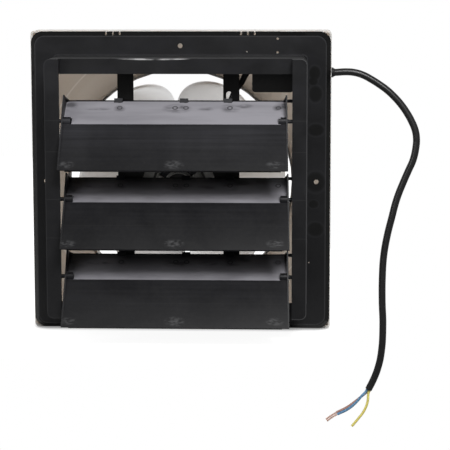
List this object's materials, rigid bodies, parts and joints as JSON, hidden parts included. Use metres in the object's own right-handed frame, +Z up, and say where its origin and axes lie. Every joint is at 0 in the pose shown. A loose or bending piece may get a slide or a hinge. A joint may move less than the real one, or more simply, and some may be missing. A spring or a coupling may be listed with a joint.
{
  "type": "window exhaust fan",
  "caption": "Square through-wall exhaust fan with a gravity louvre shutter, bell-mouth panel, axial propeller, strap-mounted motor and a free flex with stripped cores.",
  "frame": {"origin": "on the fan axis, in the plane where the flange bears on the wall", "axes": "+Z up, +Y into the room along the fan axis, +X to the right seen from the shutter (outdoor) side"},
  "size_m": [0.3835, 0.1377, 0.3964],
  "materials": {
    "black_moulding": "satin black moulding",
    "panel_moulding": "warm beige moulding",
    "louvre_moulding": "satin black moulding",
    "blade_moulding": "pale warm grey moulding",
    "painted_steel": "black painted strip steel",
    "motor_casting": "dull pressed shell",
    "zinc_steel": "zinc plated",
    "shaft_steel": "ground",
    "laminated_steel": "laminated core",
    "sintered_bronze": "sintered",
    "enamelled_wire": "enamelled copper wire",
    "flex_rubber": "smooth black jacket",
    "blue_sheath": "satin",
    "brown_sheath": "satin",
    "earth_sheath": "satin, two coloured",
    "copper_strand": "bare copper strands",
    "white_nylon": "moulded nylon",
    "capacitor_case": "potted case"
  },
  "bodies": {
    "housing": {"bearing_front": "sintered_bronze", "bearing_rear": "sintered_bronze", "bracket_screw_bottom_left": "zinc_steel", "bracket_screw_bottom_right": "zinc_steel", "bracket_screw_top_left": "zinc_steel", "bracket_screw_top_right": "zinc_steel", "capacitor": "capacitor_case", "copper_blue": "copper_strand", "copper_brown": "copper_strand", "cord_gland": "flex_rubber", "cord_inner_run": "flex_rubber", "core_blue": "blue_sheath", "core_brown": "brown_sheath", "core_earth": "earth_sheath", "front_panel": "panel_moulding", "main_frame": "black_moulding", "motor_bracket_left": "painted_steel", "motor_bracket_right": "painted_steel", "motor_front_housing": "motor_casting", "motor_lead": "flex_rubber", "motor_rear_housing": "motor_casting", "motor_screw_lower_left": "zinc_steel", "motor_screw_lower_right": "zinc_steel", "motor_screw_upper_left": "zinc_steel", "motor_screw_upper_right": "zinc_steel", "panel_screw_1": "zinc_steel", "panel_screw_2": "zinc_steel", "panel_screw_3": "zinc_steel", "panel_screw_4": "zinc_steel", "stator_core": "laminated_steel", "supply_cord": "flex_rubber", "terminal_block": "white_nylon", "terminal_box": "black_moulding", "terminal_box_lid": "black_moulding", "terminal_box_screw": "zinc_steel", "winding_front": "enamelled_wire", "winding_rear": "enamelled_wire"},
    "rotor": {"rotor_core": "laminated_steel", "motor_shaft": "shaft_steel", "propeller": "blade_moulding", "spinner_nut": "blade_moulding"},
    "louvre_1": {"louvre_1": "louvre_moulding"},
    "louvre_2": {"louvre_2": "louvre_moulding"},
    "louvre_3": {"louvre_3": "louvre_moulding"},
    "link_bar": {"link_bar": "black_moulding"}
  },
  "joints": [
    {"name": "fan_spin", "type": "hinge", "parent": "housing", "child": "rotor", "pos_m": [0, 0, 0], "axis": [0, 1, 0], "continuous": true},
    {"name": "louvre_1_hinge", "type": "hinge", "parent": "housing", "child": "louvre_1", "pos_m": [0, -0.0655, 0.065], "axis": [-1, 0, 0], "range_deg": [-29, 14]},
    {"name": "louvre_2_hinge", "type": "hinge", "parent": "housing", "child": "louvre_2", "pos_m": [0, -0.0655, -0.0095], "axis": [-1, 0, 0], "range_deg": [-29, 14]},
    {"name": "louvre_3_hinge", "type": "hinge", "parent": "housing", "child": "louvre_3", "pos_m": [0, -0.0655, -0.084], "axis": [-1, 0, 0], "range_deg": [-29, 14]},
    {"name": "link_bar_hinge", "type": "hinge", "parent": "louvre_1", "child": "link_bar", "pos_m": [0.112, -0.04249, 0.08265], "axis": [-1, 0, 0], "range_deg": [-14, 29]}
  ],
  "couplings": [
    {"joint": "louvre_2_hinge", "follows": "louvre_1_hinge", "ratio": 1},
    {"joint": "louvre_3_hinge", "follows": "louvre_1_hinge", "ratio": 1},
    {"joint": "link_bar_hinge", "follows": "louvre_1_hinge", "ratio": -1}
  ]
}
